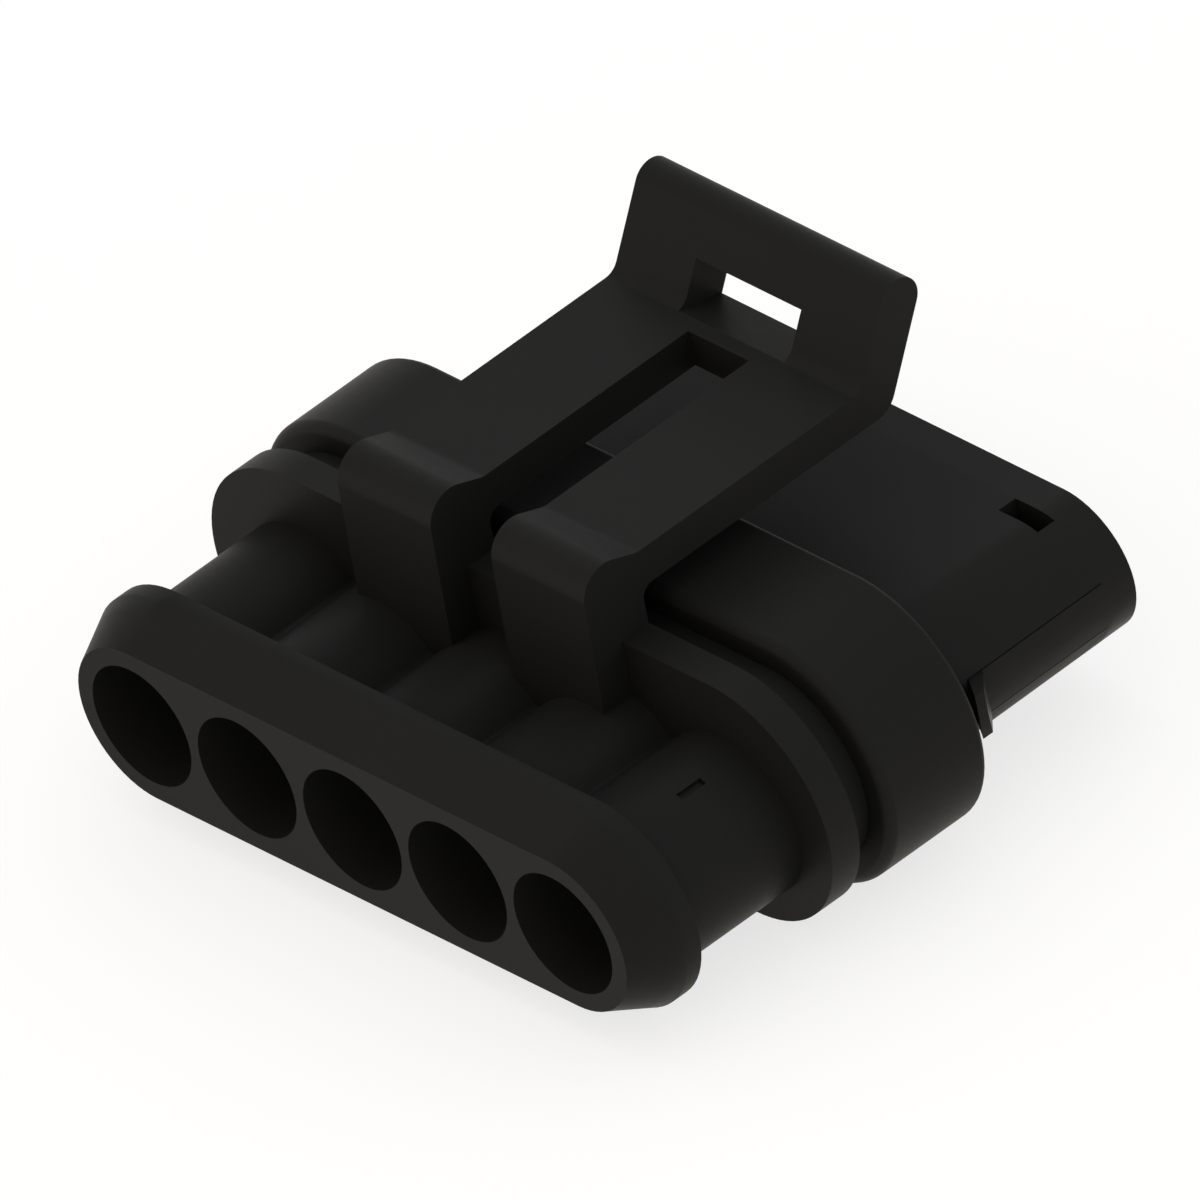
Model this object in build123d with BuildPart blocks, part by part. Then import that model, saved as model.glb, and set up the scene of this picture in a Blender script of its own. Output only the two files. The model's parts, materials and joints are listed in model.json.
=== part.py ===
import os
from math import atan2, cos, degrees, radians, sin, tan

from build123d import *

# Plug housing of a five-way sealed cable connector, in millimetres.
# +X runs along the row of cavities, +Y towards the mating end, +Z up, where the latch is.
# The origin is below the middle of the part, on the surface that it rests on.
# Distances along the housing are taken from its cable end, and rises from the row's axis.

# Row of cavities: a round bore for the wire seal, then a channel for the contact
cavity_count = 5
cavity_pitch = 6.0
bore_radius = 2.74
bore_depth = 8.4
channel_width = 3.4
channel_height = 3.0

# Lances: springy fingers in the roof of each channel, which catch the contact
lance_root = 15.6
lance_length = 6.4
lance_width = 1.8
lance_thickness = 0.55
lance_side_gap = 0.35
lance_top_gap = 0.6
lance_catch_height = 0.6
lance_catch_length = 1.6

# Cable end: a coned flange, then one tube round each cavity
flange_face_radius = 3.54
flange_radius = 4.64
flange_cone_length = 2.2
flange_length = 3.0
tube_radius = 3.69
tube_valley_radius = 0.3

# Plate, neck and collar, which sit a little above the row
collar_rise = 0.62
plate_start = 9.4
plate_length = 1.49
plate_radius = 5.55
neck_radius = 4.54
collar_start = 12.34
collar_length = 5.24
collar_radius = 5.77
collar_wall = 0.9
collar_floor = 1.2
collar_back_chamfer = 0.3
collar_front_chamfer = 0.1

# Nose at the mating end. The lock's cap makes its last stretch, and a blade can pry the cap at two notches
overall_length = 28.23
cap_length = 1.51
nose_rise = 0.49
nose_tip_radius = 3.24
nose_draft = 0.45
nose_wall = 0.8
pocket_depth = 3.0
notch_offset = 11.9
notch_width = 2.2
notch_length = 0.92
notch_floor = 1.5

# Latch: two legs, an arm with a slot, and a leaning thumb tab with a window
latch_half_width = 7.03
latch_slot_half_width = 1.73
latch_slot_end = 22.2
leg_back = 7.77
leg_lean = 1.5
hump_top = 10.06
hump_radius = 1.3
hump_slope = 20.0
arm_underside = 7.85
arm_top = 9.52
arm_blend = 1.0
leg_fillet = 0.6
tab_foot = 23.21
tab_lean = 31.0
tab_thickness = 1.94
tab_top = 13.26
tab_foot_fillet = 0.8
tab_heel_radius = 1.2
tab_window_half_width = 3.0
tab_window_top = 11.25
tab_window_start = 22.9
tab_window_slope = 14.0

# Secondary lock: a cap on the front of the nose, with a plug in its pocket and an arm along each side.
# Closed, its fingers stand over the lances and block them. It opens forwards, which frees the lances.
lock_clearance = 0.08
lock_travel = 1.2
tab_entry_width = 2.2
tab_entry_height = 1.2
tab_entry_lead = 0.5
finger_width = 1.6
lock_arm_rise = 0.3
lock_arm_height = 2.14
lock_arm_depth = 1.0
lock_arm_back = 19.38
lock_arm_gap = 0.05
lock_neck_depth = 2.2
hook_height = 1.06
hook_length = 0.77
hook_rake = 32.0
hook_ramp = 42.0

# Interface seal: a soft ring round the root of the nose
seal_clearance = 0.05
seal_length = 4.7
seal_thickness = 0.6
seal_rib_count = 3
seal_rib_width = 0.7
seal_rib_height = 0.28
seal_rib_chamfer = 0.2

# Values that follow from the ones above
row_half = (cavity_count - 1) / 2 * cavity_pitch
row_height = collar_radius - collar_rise
plate_end = plate_start + plate_length
collar_end = collar_start + collar_length
collar_bottom = collar_start + collar_floor
collar_bore_radius = collar_radius - collar_wall
nose_end = overall_length - cap_length
nose_length = overall_length - collar_bottom
nose_root_radius = nose_tip_radius + nose_length * tan(radians(nose_draft))
nose_half_width = row_half + nose_tip_radius
pocket_radius = nose_tip_radius - nose_wall
pocket_bottom = nose_end - pocket_depth
channel_top = channel_height / 2
lance_tip = lance_root + lance_length
plug_radius = pocket_radius - lock_clearance
plug_back = pocket_bottom + lock_clearance
finger_rise = channel_top + lance_thickness + lock_clearance
finger_thickness = lance_top_gap - 2 * lock_clearance
finger_overlap = lock_travel - lock_clearance
finger_length = plug_back - lance_tip + finger_overlap
lock_arm_inner = nose_half_width - lock_arm_depth
lock_neck_inner = nose_half_width - lock_neck_depth
lock_reach = nose_half_width + hook_height + lock_clearance
groove_height = lock_arm_height + 2 * lock_arm_gap
groove_inner = lock_arm_inner - lock_clearance
groove_back = lock_arm_back - lock_arm_gap
hook_foot = lock_arm_back + hook_length
seal_inner_radius = nose_root_radius + seal_clearance
seal_back = collar_bottom + seal_clearance
seal_radius = seal_inner_radius + seal_thickness
seal_rib_radius = seal_radius + seal_rib_height
seal_rib_pitch = (seal_length - seal_rib_width) / (seal_rib_count - 1)

cavities = [(index * cavity_pitch - row_half, 0) for index in range(cavity_count)]


# An upright plane across the housing, facing the cable end
def across(distance, rise=0.0):
    place = (0, distance - overall_length / 2, row_height + rise)
    return Plane(origin=place, x_dir=(1, 0, 0), z_dir=(0, -1, 0))


# An upright plane along the housing, seen from its right, with its zero at the cable end
def along(offset=0.0):
    return Plane(origin=(offset, -overall_length / 2, row_height), x_dir=(0, 1, 0), z_dir=(1, 0, 0))


# A level plane, seen from above, with its zero at the cable end
def level(rise):
    return Plane(origin=(0, -overall_length / 2, row_height + rise), x_dir=(1, 0, 0), z_dir=(0, 0, 1))


# A stadium round the row of cavities, drawn at the front of a block and run back over its length
def racetrack_block(front, length, radius, rise=0.0, taper=0.0, mode=Mode.ADD):
    with BuildSketch(across(front, rise)) as outline:
        SlotCenterToCenter(2 * row_half, 2 * radius)
    extrude(outline.sketch, amount=length, taper=taper, mode=mode)


# The same rectangle at every cavity, run back over its length
def cavity_blocks(front, length, width, height, rise, mode):
    with BuildSketch(across(front, rise)) as outlines:
        with Locations(cavities):
            Rectangle(width, height, align=(Align.CENTER, Align.MIN))
    extrude(outlines.sketch, amount=length, mode=mode)


# A block on each side of the nose, from an inner face out to a reach, run back over its length
def side_blocks(front, back, inner, outer, height, mode=Mode.ADD):
    with BuildSketch(across(front, lock_arm_rise)) as outlines:
        with Locations((inner, 0)):
            Rectangle(outer - inner, height, align=(Align.MIN, Align.CENTER))
        with Locations((-inner, 0)):
            Rectangle(outer - inner, height, align=(Align.MAX, Align.CENTER))
    extrude(outlines.sketch, amount=front - back, mode=mode)


# Edges in the upright plane at a distance from the cable end
def edges_at(part, distance):
    place = distance - overall_length / 2
    return part.edges().filter_by_position(Axis.Y, place - 0.001, place + 0.001)


# Latch: legs, arm and thumb tab are one bent strip, drawn from the side
with BuildPart() as latch:
    leg_angle = radians(leg_lean)
    tab_angle = radians(tab_lean)
    hump_height = hump_top - hump_radius
    hump_place = leg_back + hump_height * tan(leg_angle) + hump_radius / cos(leg_angle)
    tab_radius = tab_thickness / 2
    tip_height = tab_top - tab_radius
    tip_rise = tip_height - arm_top + tab_radius * sin(tab_angle)
    tip_place = tab_foot + tab_radius * cos(tab_angle) + tip_rise * tan(tab_angle)
    with BuildSketch(along()) as strip:
        with BuildLine():
            hump_turn = 90 + hump_slope - leg_lean
            hump = CenterArc((hump_place, hump_height), hump_radius, 180 - leg_lean, -hump_turn)
            tip = CenterArc((tip_place, tip_height), tab_radius, 180 - tab_lean, -180)
            slope_end = ((hump @ 1).X + ((hump @ 1).Y - arm_top) / tan(radians(hump_slope)), arm_top)
            foot = (tab_foot, arm_top)
            heel = ((tip @ 1).X - ((tip @ 1).Y - arm_underside) * tan(tab_angle), arm_underside)
            armpit = (plate_end, arm_underside)
            Polyline(hump @ 1, slope_end, foot, tip @ 0)
            Polyline(tip @ 1, heel, armpit, (plate_end, 0), (leg_back, 0), hump @ 0)
        make_face()
        bends = (slope_end, foot, heel, armpit)
        for bend, radius in zip(bends, (arm_blend, tab_foot_fillet, tab_heel_radius, leg_fillet)):
            fillet(strip.vertices().sort_by_distance((*bend, 0))[0], radius)
    extrude(amount=latch_half_width, both=True)

    # The slot that parts the legs is open at the cable end
    with BuildSketch(level(tab_top)):
        with Locations((0, latch_slot_end)):
            Rectangle(2 * latch_slot_half_width, latch_slot_end, align=(Align.CENTER, Align.MAX))
    extrude(amount=-tab_top, mode=Mode.SUBTRACT)

    # The window in the tab has a level top, and a floor that falls from the arm's top towards the mating end
    with BuildSketch(along()):
        with BuildLine():
            floor_end = arm_top - (overall_length - tab_window_start) * tan(radians(tab_window_slope))
            Polyline((tab_window_start, arm_top), (tab_window_start, tab_window_top),
                     (overall_length, tab_window_top), (overall_length, floor_end), close=True)
        make_face()
    extrude(amount=tab_window_half_width, both=True, mode=Mode.SUBTRACT)

# Collar: a hollow skirt round the root of the nose, on a neck that parts it from the plate
with BuildPart() as collar:
    racetrack_block(collar_end, collar_length, collar_radius, collar_rise)
    chamfer(edges_at(collar, collar_start), collar_back_chamfer)
    chamfer(edges_at(collar, collar_end), collar_front_chamfer)
    collar_depth = collar_end - collar_bottom
    racetrack_block(collar_end, collar_depth, collar_bore_radius, collar_rise, mode=Mode.SUBTRACT)
    racetrack_block(collar_start, collar_start - plate_end, neck_radius, collar_rise)

# The nose from its root to its tip, drawn wider towards its root
with BuildPart() as nose:
    racetrack_block(overall_length, nose_length, nose_tip_radius, nose_rise, taper=-nose_draft)

with BuildPart() as housing:
    # Coned flange at the cable end
    cone_angle = degrees(atan2(flange_radius - flange_face_radius, flange_cone_length))
    racetrack_block(flange_cone_length, flange_cone_length, flange_radius, taper=cone_angle)
    racetrack_block(flange_length, flange_length - flange_cone_length, flange_radius)

    # Tubes, blended where they overlap
    with BuildSketch(across(plate_start)) as tubes:
        with Locations(cavities):
            Circle(tube_radius)
        fillet(tubes.vertices().filter_by(lambda point: abs(point.Y) > tube_radius / 4), tube_valley_radius)
    extrude(amount=plate_start - flange_length)

    # The plate joins the tubes to the latch's legs. The nose ends where the lock's cap begins
    racetrack_block(plate_end, plate_length, plate_radius, collar_rise)
    add(collar.part)
    add(latch.part)
    add(nose.part)
    racetrack_block(overall_length, cap_length, nose_root_radius, nose_rise, mode=Mode.SUBTRACT)

    # Pocket for the lock's plug, and the notches in its roof
    racetrack_block(nose_end, pocket_depth, pocket_radius, nose_rise, mode=Mode.SUBTRACT)
    with BuildSketch(level(nose_rise + nose_root_radius)):
        with Locations((-notch_offset, nose_end), (notch_offset, nose_end)):
            Rectangle(notch_width, notch_length, align=(Align.CENTER, Align.MAX))
    extrude(amount=-nose_root_radius, mode=Mode.SUBTRACT)

    # Grooves for the lock's arms along the sides of the nose, open into the pocket at the front
    side_blocks(nose_end, groove_back, groove_inner, lock_reach, groove_height, Mode.SUBTRACT)
    side_blocks(nose_end, pocket_bottom, lock_neck_inner, lock_reach, groove_height, Mode.SUBTRACT)

    # Cavities, from the cable end through to the pocket
    with BuildSketch(across(bore_depth)):
        with Locations(cavities):
            Circle(bore_radius)
    extrude(amount=bore_depth, mode=Mode.SUBTRACT)
    channel_length = pocket_bottom - bore_depth
    cavity_blocks(pocket_bottom, channel_length, channel_width, channel_height, -channel_top, Mode.SUBTRACT)

    # Lances, each free at its tip and with a catch that hangs into the channel
    room_length = pocket_bottom - lance_root
    room_width = lance_width + 2 * lance_side_gap
    room_height = lance_thickness + lance_top_gap
    cavity_blocks(pocket_bottom, room_length, room_width, room_height, channel_top, Mode.SUBTRACT)
    cavity_blocks(lance_tip, lance_length, lance_width, lance_thickness, channel_top, Mode.ADD)
    for place, _ in cavities:
        with BuildSketch(along(place)):
            with BuildLine():
                Polyline((lance_tip - lance_catch_length, channel_top), (lance_tip, channel_top),
                         (lance_tip, channel_top - lance_catch_height), close=True)
            make_face()
        extrude(amount=lance_width / 2, both=True)

# The lock's arms are flush with the sides of the nose, and end in hooks that keep the interface seal on
with BuildPart() as lock_arms:
    side_blocks(nose_end, lock_arm_back, lock_arm_inner, lock_reach, lock_arm_height)
    add(nose.part, mode=Mode.INTERSECT)

with BuildPart() as lock_hooks:
    with BuildSketch(level(lock_arm_rise)):
        with BuildLine():
            hook_reach = lock_reach - nose_half_width
            tip_back = lock_arm_back - hook_reach * tan(radians(hook_rake))
            tip_front = hook_foot - hook_reach * tan(radians(hook_ramp))
            Polyline((lock_arm_inner, lock_arm_back), (nose_half_width, lock_arm_back),
                     (lock_reach, tip_back), (lock_reach, tip_front),
                     (nose_half_width, hook_foot), (lock_arm_inner, hook_foot), close=True)
        make_face()
        mirror(about=Plane.YZ)
    extrude(amount=lock_arm_height / 2, both=True)
    hook_radius = nose_tip_radius + hook_height
    racetrack_block(hook_foot, hook_foot - tip_back, hook_radius, nose_rise, mode=Mode.INTERSECT)

with BuildPart() as secondary_lock:
    # Cap and plug, with an entry for each tab of the mating part
    racetrack_block(overall_length, cap_length, nose_tip_radius, nose_rise, taper=-nose_draft)
    racetrack_block(nose_end, nose_end - plug_back, plug_radius, nose_rise)
    with BuildSketch(across(overall_length)):
        with Locations(cavities):
            Rectangle(tab_entry_width, tab_entry_height)
    extrude(amount=overall_length - plug_back, mode=Mode.SUBTRACT)
    with BuildSketch(across(overall_length)):
        with Locations(cavities):
            Rectangle(tab_entry_width + 2 * tab_entry_lead, tab_entry_height + 2 * tab_entry_lead)
    extrude(amount=tab_entry_lead, taper=45, mode=Mode.SUBTRACT)

    # Below the notches the plug is cut away for the blade
    with BuildSketch(across(nose_end, notch_floor)):
        with Locations((-notch_offset, 0), (notch_offset, 0)):
            Rectangle(notch_width, pocket_radius, align=(Align.CENTER, Align.MIN))
    extrude(amount=notch_length, mode=Mode.SUBTRACT)

    # Fingers over the lances, and the arms, joined to the plug by necks
    cavity_blocks(plug_back, finger_length, finger_width, finger_thickness, finger_rise, Mode.ADD)
    side_blocks(nose_end, plug_back, lock_neck_inner, lock_arm_inner, lock_arm_height)
    add(lock_arms.part)
    add(lock_hooks.part)

# Interface seal, with ribs round its outside
with BuildPart() as interface_seal:
    racetrack_block(seal_back + seal_length, seal_length, seal_radius, nose_rise)
    for rib in range(seal_rib_count):
        rib_front = seal_back + seal_rib_width + rib * seal_rib_pitch
        with BuildPart(mode=Mode.PRIVATE) as ring:
            racetrack_block(rib_front, seal_rib_width, seal_rib_radius, nose_rise)
            chamfer(ring.faces().filter_by(Axis.Y).edges(), seal_rib_chamfer)
        add(ring.part)
    racetrack_block(seal_back + seal_length, seal_length, seal_inner_radius, nose_rise, mode=Mode.SUBTRACT)

os.makedirs("parts", exist_ok=True)
housing.part.label = "housing"
export_step(housing.part, "parts/housing.step")
secondary_lock.part.label = "secondary_lock"
export_step(secondary_lock.part, "parts/secondary_lock.step")
interface_seal.part.label = "interface_seal"
export_step(interface_seal.part, "parts/interface_seal.step")
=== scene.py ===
import json
import math

import bmesh
import bpy
from mathutils import Matrix, Vector


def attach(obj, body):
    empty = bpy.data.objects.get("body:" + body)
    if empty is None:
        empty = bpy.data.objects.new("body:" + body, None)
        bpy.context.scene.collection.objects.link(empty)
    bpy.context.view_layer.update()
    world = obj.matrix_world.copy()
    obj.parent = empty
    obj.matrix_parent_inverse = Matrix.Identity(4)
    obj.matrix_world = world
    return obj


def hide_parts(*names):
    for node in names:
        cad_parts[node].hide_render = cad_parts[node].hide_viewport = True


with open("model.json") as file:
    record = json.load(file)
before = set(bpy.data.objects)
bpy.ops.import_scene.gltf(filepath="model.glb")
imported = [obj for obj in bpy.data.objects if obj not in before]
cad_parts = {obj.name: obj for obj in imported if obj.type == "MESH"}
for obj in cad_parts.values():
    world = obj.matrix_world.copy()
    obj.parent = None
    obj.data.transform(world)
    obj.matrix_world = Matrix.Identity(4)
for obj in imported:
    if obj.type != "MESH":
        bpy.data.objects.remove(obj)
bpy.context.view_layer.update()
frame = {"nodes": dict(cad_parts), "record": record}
mm = 0.001

# mouths of the cavities, from left to right: places on the housing and the view are measured from them
mouths = [Vector(mount["pos_m"]) for mount in frame["record"]["mounts"] if mount["kind"] == "bore"]
leftMouth, middleMouth, rightMouth = mouths[0], mouths[len(mouths) // 2], mouths[-1]
print("frame loaded:", ", ".join(sorted(frame["nodes"])))

# sockets that have a number and no name of their own
firstColour, secondColour, mixedColour = 6, 7, 2  # Mix node: two go in, and one comes out
firstShader, secondShader = 1, 2  # Mix Shader node
firstValue, secondValue = 0, 1  # Math node


def selectOnly(obj):
    bpy.ops.object.select_all(action="DESELECT")
    obj.select_set(True)
    bpy.context.view_layer.objects.active = obj


def linearFromHex(code):
    channels = [int(code[i:i + 2], 16) / 255 for i in (1, 3, 5)]
    return [c / 12.92 if c <= 0.04045 else ((c + 0.055) / 1.055) ** 2.4 for c in channels] + [1.0]


# settings are given by the name or number of a socket, or by the name of an option, and links by socket
def addNode(tree, kind, settings=None, links=None):
    node = tree.nodes.new(kind)
    for name, value in (settings or {}).items():
        if isinstance(name, int) or name in node.inputs:
            node.inputs[name].default_value = value
        else:
            setattr(node, name, value)
    for name, source in (links or {}).items():
        tree.links.new(source, node.inputs[name])
    return node


def emptyMaterial(name):
    material = bpy.data.materials.new(name)
    material.use_nodes = True
    material.node_tree.nodes.clear()
    return material, material.node_tree


# a surface as it leaves its mould: one colour in faint clouds, with a fine grain in its gloss and height
def mouldedFinish(look):
    material, tree = emptyMaterial(look["name"])
    place = addNode(tree, "ShaderNodeTexCoord").outputs["Object"]
    grain = addNode(tree, "ShaderNodeTexNoise",
                    {"Scale": 1 / (look["grainWidth"] * mm), "Detail": 3.0, "Roughness": 0.6},
                    {"Vector": place})
    cloud = addNode(tree, "ShaderNodeTexNoise",
                    {"Scale": 1 / (look["cloudWidth"] * mm), "Detail": 2.0},
                    {"Vector": place})
    colour = addNode(tree, "ShaderNodeMix",
                     {"data_type": "RGBA", firstColour: linearFromHex(look["darkHex"]),
                      secondColour: linearFromHex(look["lightHex"])},
                     {"Factor": cloud.outputs["Fac"]})
    rough = addNode(tree, "ShaderNodeMapRange",
                    {"To Min": look["roughMin"], "To Max": look["roughMax"]},
                    {"Value": grain.outputs["Fac"]})
    bump = addNode(tree, "ShaderNodeBump",
                   {"Strength": look["bumpStrength"], "Distance": look["bumpDepth"] * mm},
                   {"Height": grain.outputs["Fac"]})
    shader = addNode(tree, "ShaderNodeBsdfPrincipled",
                     {"IOR": look["ior"], "Specular IOR Level": look["specular"]},
                     {"Base Color": colour.outputs[mixedColour], "Roughness": rough.outputs["Result"],
                      "Normal": bump.outputs["Normal"]})
    addNode(tree, "ShaderNodeOutputMaterial", links={"Surface": shader.outputs["BSDF"]})
    return material


# how the many small faces of a CAD piece are brought together and shaded
shading = {
    "mergeDistance": 0.0004,  # mm
    "flatAngle": 0.2,  # degrees: the triangles of a flat face become one face
    "smoothAngle": 32.0,  # degrees: moulded roundings run together, corners stay crisp
    "widthWeight": 3.0,  # how far a wide face outweighs a narrow strip beside it
    "facingDigits": 3,  # faces whose normals agree to so many digits count as one
}


# a copy of a CAD piece whose loose triangles are merged, so that it can be worked on
def mergedCopy(node, name):
    piece = bpy.data.objects.new(name, frame["nodes"][node].data.copy())
    bpy.context.scene.collection.objects.link(piece)
    selectOnly(piece)
    bpy.ops.object.mode_set(mode="EDIT")
    bpy.ops.mesh.select_all(action="SELECT")
    bpy.ops.mesh.remove_doubles(threshold=shading["mergeDistance"] * mm)
    bpy.ops.mesh.dissolve_limited(angle_limit=math.radians(shading["flatAngle"]))
    bpy.ops.object.mode_set(mode="OBJECT")
    return piece


# the faces round a corner point, in groups that run together without a crisp edge
def smoothGroups(vert, limit):
    left = set(vert.link_faces)
    while left:
        group, front = set(), [left.pop()]
        while front:
            face = front.pop()
            group.add(face)
            for edge in face.edges:
                if vert in edge.verts and len(edge.link_faces) == 2 and edge.calc_face_angle() < limit:
                    beside = [other for other in edge.link_faces if other in left]
                    left.difference_update(beside)
                    front += beside
        yield group


# shades roundings evenly, while a flat face stays flat right up to the rounding beside it
def setEvenNormals(piece):
    shape = bmesh.new()
    shape.from_mesh(piece.data)
    shape.normal_update()
    width = {face: face.calc_area() / max(edge.calc_length() for edge in face.edges) for face in shape.faces}
    normals = {}
    for vert in shape.verts:
        for group in smoothGroups(vert, math.radians(shading["smoothAngle"])):
            weights = {}
            for face in group:
                facing = tuple(round(part, shading["facingDigits"]) for part in face.normal)
                weights[facing] = max(weights.get(facing, 0), (width[face] / mm) ** shading["widthWeight"])
            even = sum((Vector(facing) * weight for facing, weight in weights.items()), Vector())
            for face in group:
                normal = even.normalized() if even.length > 0 else face.normal.copy()
                normals[face.index, vert.index] = normal
    shape.free()
    loops = [normals[face.index, corner] for face in piece.data.polygons for corner in face.vertices]
    piece.data.normals_split_custom_set(loops)


# shades the finished piece, gives it its finish and puts it in the place of its CAD piece
def finishCopy(piece, node, body, look):
    selectOnly(piece)
    bpy.ops.object.shade_smooth()
    setEvenNormals(piece)
    piece.data.materials.clear()
    piece.data.materials.append(mouldedFinish(look))
    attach(piece, body)
    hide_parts(node)


# housing: nylon filled with glass fibre, injection moulded. Black and satin, with a faint grain in its sheen
blackNylon = {
    "name": "mouldedBlackNylon",
    "darkHex": "#191919",
    "lightHex": "#1c1c1c",
    "cloudWidth": 6.0,  # mm
    "grainWidth": 0.25,  # mm: coarser than the real grain, which is too fine to show
    "roughMin": 0.42,
    "roughMax": 0.52,
    "bumpStrength": 0.25,
    "bumpDepth": 0.01,  # mm
    "ior": 1.5,
    "specular": 0.055,  # low: the surface is dull and hardly mirrors the room
}

# edges of the collar that the mould leaves a little round, by their distance in mm from the cable end
collar = {
    "back": {"distances": (12.34, 12.64), "rounding": 0.16},
    "front": {"distances": (17.48,), "rounding": 0.12},
    "nearness": 0.01,  # mm: an edge whose ends are so near to a distance belongs to it
    "rise": 0.62,  # mm from the axis of the row up to the axis of the collar
    "innerRadius": 5.4,  # mm: what lies further in belongs to the bore and the neck
    "steps": 3,
    "profile": 0.5,  # a round arc
}


# how far a point lies from the line between the collar's two end axes
def collarRadius(point):
    across = point.x - min(max(point.x, leftMouth.x), rightMouth.x)
    return math.hypot(across, point.z - rightMouth.z - collar["rise"] * mm)


def roundCollar(piece, side):
    selectOnly(piece)
    bpy.ops.object.mode_set(mode="EDIT")
    bpy.ops.mesh.select_mode(type="EDGE")
    bpy.ops.mesh.select_all(action="DESELECT")
    shape = bmesh.from_edit_mesh(piece.data)
    places = [rightMouth.y + distance * mm for distance in side["distances"]]
    for edge in shape.edges:
        outer = all(collarRadius(vert.co) > collar["innerRadius"] * mm for vert in edge.verts)
        for place in places:
            level = all(abs(vert.co.y - place) < collar["nearness"] * mm for vert in edge.verts)
            if level and outer:
                edge.select = True
    bmesh.update_edit_mesh(piece.data)
    bpy.ops.mesh.bevel(offset=side["rounding"] * mm, segments=collar["steps"],
                       profile=collar["profile"], clamp_overlap=False)
    bpy.ops.object.mode_set(mode="OBJECT")


# a numeral sunk into the top of the right-hand tube, at the end where the cavities are counted from
numeral = {
    "text": "1",
    "tubeRadius": 3.69,  # mm, outside
    "aside": 1.3,  # mm to the right of the tube's top line
    "distance": 6.5,  # mm from the cable end
    "size": 1.6,
    "depth": 0.2,
    "boldness": 0.1,  # mm that its strokes gain on each side
}


def cutNumeral(piece):
    lean = math.asin(numeral["aside"] / numeral["tubeRadius"])
    top = numeral["tubeRadius"] * math.cos(lean)
    place = rightMouth + Vector((numeral["aside"], numeral["distance"], top)) * mm
    bpy.ops.object.text_add(location=place, rotation=(0, lean, 0))
    cutter = bpy.context.active_object
    cutter.data.body = numeral["text"]
    cutter.data.size = numeral["size"] * mm
    cutter.data.extrude = numeral["depth"] * mm
    cutter.data.offset = numeral["boldness"] * mm
    cutter.data.align_x = "CENTER"
    cutter.data.align_y = "CENTER"
    selectOnly(cutter)
    bpy.ops.object.convert(target="MESH")
    bpy.ops.object.mode_set(mode="EDIT")
    bpy.ops.mesh.select_all(action="SELECT")
    bpy.ops.mesh.remove_doubles(threshold=shading["mergeDistance"] * mm)
    bpy.ops.mesh.normals_make_consistent(inside=False)
    bpy.ops.object.mode_set(mode="OBJECT")
    selectOnly(piece)
    cut = piece.modifiers.new("numeral", "BOOLEAN")
    cut.operation = "DIFFERENCE"
    cut.solver = "EXACT"
    cut.object = cutter
    bpy.ops.object.modifier_apply(modifier="numeral")
    bpy.data.objects.remove(cutter)


housingMoulding = mergedCopy("housing", "housingMoulding")
roundCollar(housingMoulding, collar["back"])
roundCollar(housingMoulding, collar["front"])
cutNumeral(housingMoulding)
finishCopy(housingMoulding, "housing", "housing", blackNylon)
print("housing shaded")

# secondary lock: unfilled polyester, injection moulded. The same black, smoother and a little glossier
blackPolyester = {
    **blackNylon,
    "name": "mouldedBlackPolyester",
    "roughMin": 0.34,
    "roughMax": 0.42,
    "bumpStrength": 0.12,
}

lockMoulding = mergedCopy("secondary_lock", "lockMoulding")
finishCopy(lockMoulding, "secondary_lock", "secondary_lock", blackPolyester)
print("lock shaded")

# interface seal: silicone rubber, pressed in a hot mould and oiled. Brick red, with a soft wet sheen
redSilicone = {
    **blackNylon,
    "name": "siliconeRubber",
    "darkHex": "#7a2a1c",
    "lightHex": "#8a3322",
    "grainWidth": 0.6,
    "roughMin": 0.28,
    "roughMax": 0.4,
    "bumpStrength": 0.1,
    "specular": 0.35,
}

sealRing = mergedCopy("interface_seal", "sealRing")
finishCopy(sealRing, "interface_seal", "housing", redSilicone)
print("seal shaded")

# floor: matt white paper. It keeps the shadow, but is lifted towards white where it is seen or mirrored
paper = {
    "width": 2000.0,  # mm
    "drop": 0.02,  # mm under the lowest face, so that the two never flicker
    "hex": "#f8f8f8",
    "glowStrength": 1.05,
    "lifts": (
        {"ray": "Is Camera Ray", "share": 0.7, "hex": "#ffffff"},
        {"ray": "Is Glossy Ray", "share": 0.9, "hex": "#fffaf0"},  # a little warm in the plastic's gloss
    ),
}


def whitePaper():
    material, tree = emptyMaterial("whitePaper")
    path = addNode(tree, "ShaderNodeLightPath")
    matt = addNode(tree, "ShaderNodeBsdfDiffuse", {"Color": linearFromHex(paper["hex"])})
    surface = matt.outputs["BSDF"]
    for lift in paper["lifts"]:
        glow = addNode(tree, "ShaderNodeEmission",
                       {"Color": linearFromHex(lift["hex"]), "Strength": paper["glowStrength"]})
        share = addNode(tree, "ShaderNodeMath",
                        {"operation": "MULTIPLY", secondValue: lift["share"]},
                        {firstValue: path.outputs[lift["ray"]]})
        lifted = addNode(tree, "ShaderNodeMixShader",
                         links={"Fac": share.outputs["Value"], firstShader: surface,
                                secondShader: glow.outputs["Emission"]})
        surface = lifted.outputs["Shader"]
    addNode(tree, "ShaderNodeOutputMaterial", links={"Surface": surface})
    return material


bpy.ops.mesh.primitive_plane_add(size=paper["width"] * mm, location=(0, 0, -paper["drop"] * mm))
floor = bpy.context.active_object
floor.name = "floor"
floor.data.materials.append(whitePaper())

# room: white walls all round that light the object, a little warm on the side of the cable end
room = {
    "whiteHex": "#ffffff",
    "warmHex": "#fff8ea",
    # where the walls begin to turn warm and are fully so: 0 is beside the object, -1 before its cable end
    "warmFrom": 0.0,
    "warmTo": -0.5,
}


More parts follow.
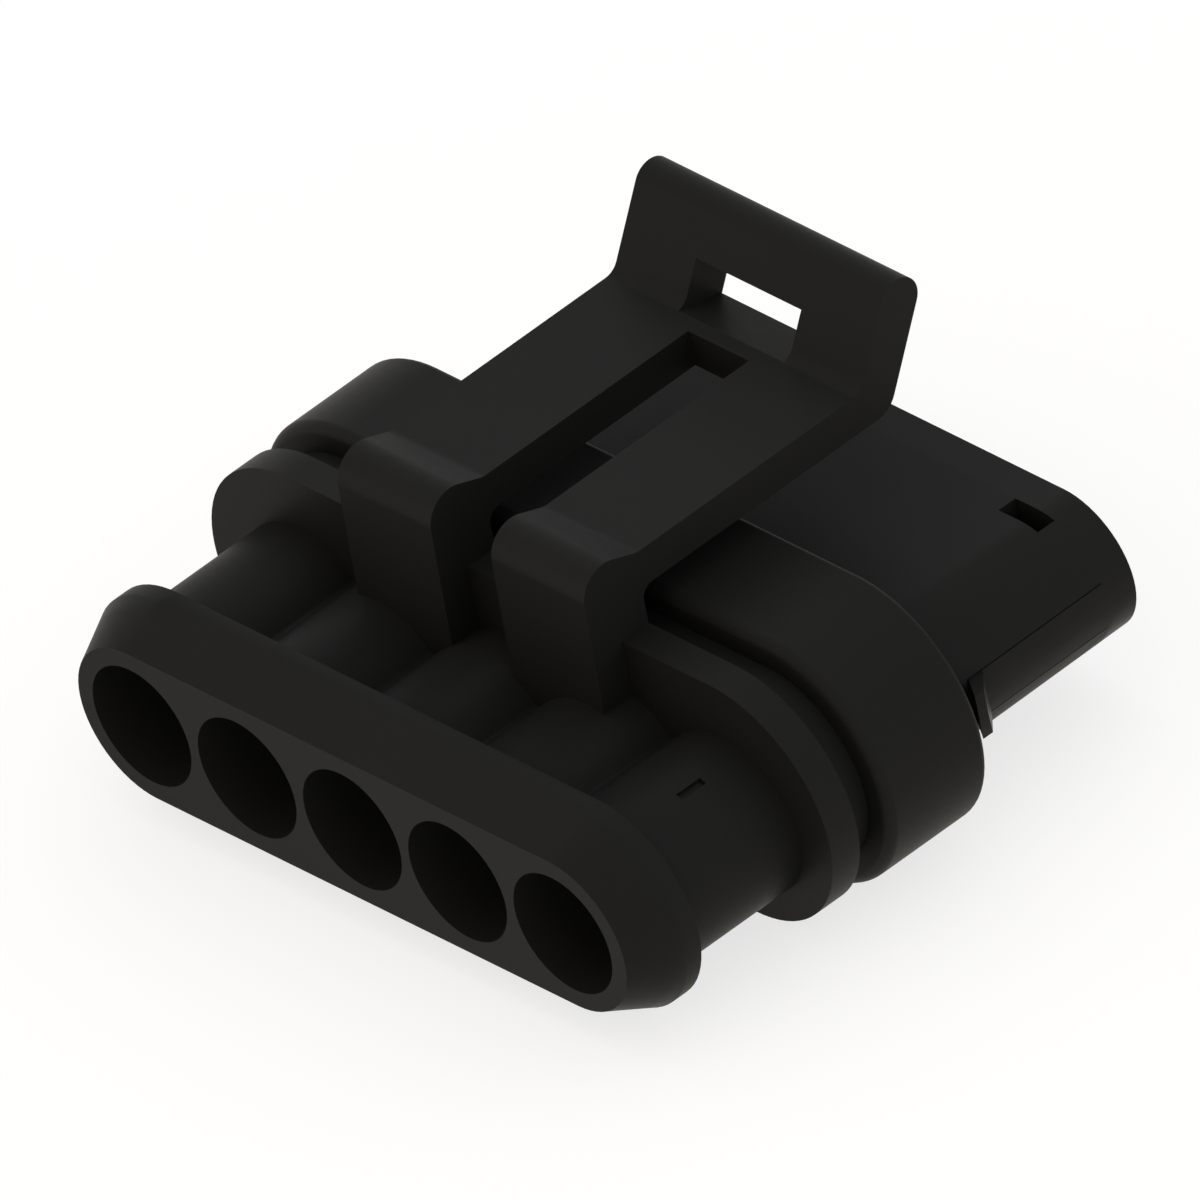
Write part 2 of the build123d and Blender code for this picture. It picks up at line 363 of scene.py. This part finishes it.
def paintRoom(world):
    world.use_nodes = True
    tree = world.node_tree
    tree.nodes.clear()
    direction = addNode(tree, "ShaderNodeTexCoord")
    sides = addNode(tree, "ShaderNodeSeparateXYZ", links={"Vector": direction.outputs["Generated"]})
    warmth = addNode(tree, "ShaderNodeMapRange",
                     {"From Min": room["warmFrom"], "From Max": room["warmTo"]},
                     {"Value": sides.outputs["Y"]})
    walls = addNode(tree, "ShaderNodeMix",
                    {"data_type": "RGBA", firstColour: linearFromHex(room["whiteHex"]),
                     secondColour: linearFromHex(room["warmHex"])},
                    {"Factor": warmth.outputs["Result"]})
    light = addNode(tree, "ShaderNodeBackground", links={"Color": walls.outputs[mixedColour]})
    backdrop = addNode(tree, "ShaderNodeBackground", {"Color": linearFromHex(room["whiteHex"])})
    path = addNode(tree, "ShaderNodeLightPath")
    both = addNode(tree, "ShaderNodeMixShader",
                   links={"Fac": path.outputs["Is Camera Ray"], firstShader: light.outputs["Background"],
                          secondShader: backdrop.outputs["Background"]})
    addNode(tree, "ShaderNodeOutputWorld", links={"Surface": both.outputs["Shader"]})


bpy.context.scene.world = bpy.data.worlds.new("studio")
paintRoom(bpy.context.scene.world)

# one soft warm lamp, low on the left before the cable end
cablePanel = {
    "place": (-160, -220, 50),  # mm
    "aim": (0, 0, 8),
    "size": 160,
    "power": 0.05,  # watts
    "colour": (1.0, 0.85, 0.7),
}
lamp = bpy.data.lights.new("cablePanel", "AREA")
lamp.size = cablePanel["size"] * mm
lamp.energy = cablePanel["power"]
lamp.color = cablePanel["colour"]
holder = bpy.data.objects.new("cablePanel", lamp)
bpy.context.scene.collection.objects.link(holder)
holder.location = Vector(cablePanel["place"]) * mm
aim = Vector(cablePanel["aim"]) - Vector(cablePanel["place"])
holder.rotation_euler = aim.to_track_quat("-Z", "Y").to_euler()
print("stage lit")

# camera: a parallel view of the cable end from its right and above, turned so that upright edges lean left
camera = {
    "azimuth": 53.276,  # degrees from straight before the cable end round to its right
    "elevation": 35.807,
    "roll": -11.87,
    "aimRight": 9.625,  # mm from the mouth of the middle cavity to the middle of the picture
    "aimUp": 8.938,
    "distance": 200.0,
    "frameWidth": 46.65,
    "nearest": 1.0,  # mm from the camera, where what it sees begins and ends
    "farthest": 2000.0,
}
turn = (Matrix.Rotation(math.radians(camera["azimuth"]), 4, "Z")
        @ Matrix.Rotation(math.radians(90 - camera["elevation"]), 4, "X")
        @ Matrix.Rotation(math.radians(camera["roll"]), 4, "Z"))
offset = Vector((camera["aimRight"], camera["aimUp"], camera["distance"])) * mm
view = bpy.data.cameras.new("camera")
view.type = "ORTHO"
view.ortho_scale = camera["frameWidth"] * mm
view.clip_start = camera["nearest"] * mm
view.clip_end = camera["farthest"] * mm
viewer = bpy.data.objects.new("camera", view)
bpy.context.scene.collection.objects.link(viewer)
viewer.matrix_world = Matrix.Translation(middleMouth) @ turn @ Matrix.Translation(offset)
bpy.context.scene.camera = viewer
bpy.context.scene.view_settings.view_transform = "Standard"

print("scene ready")
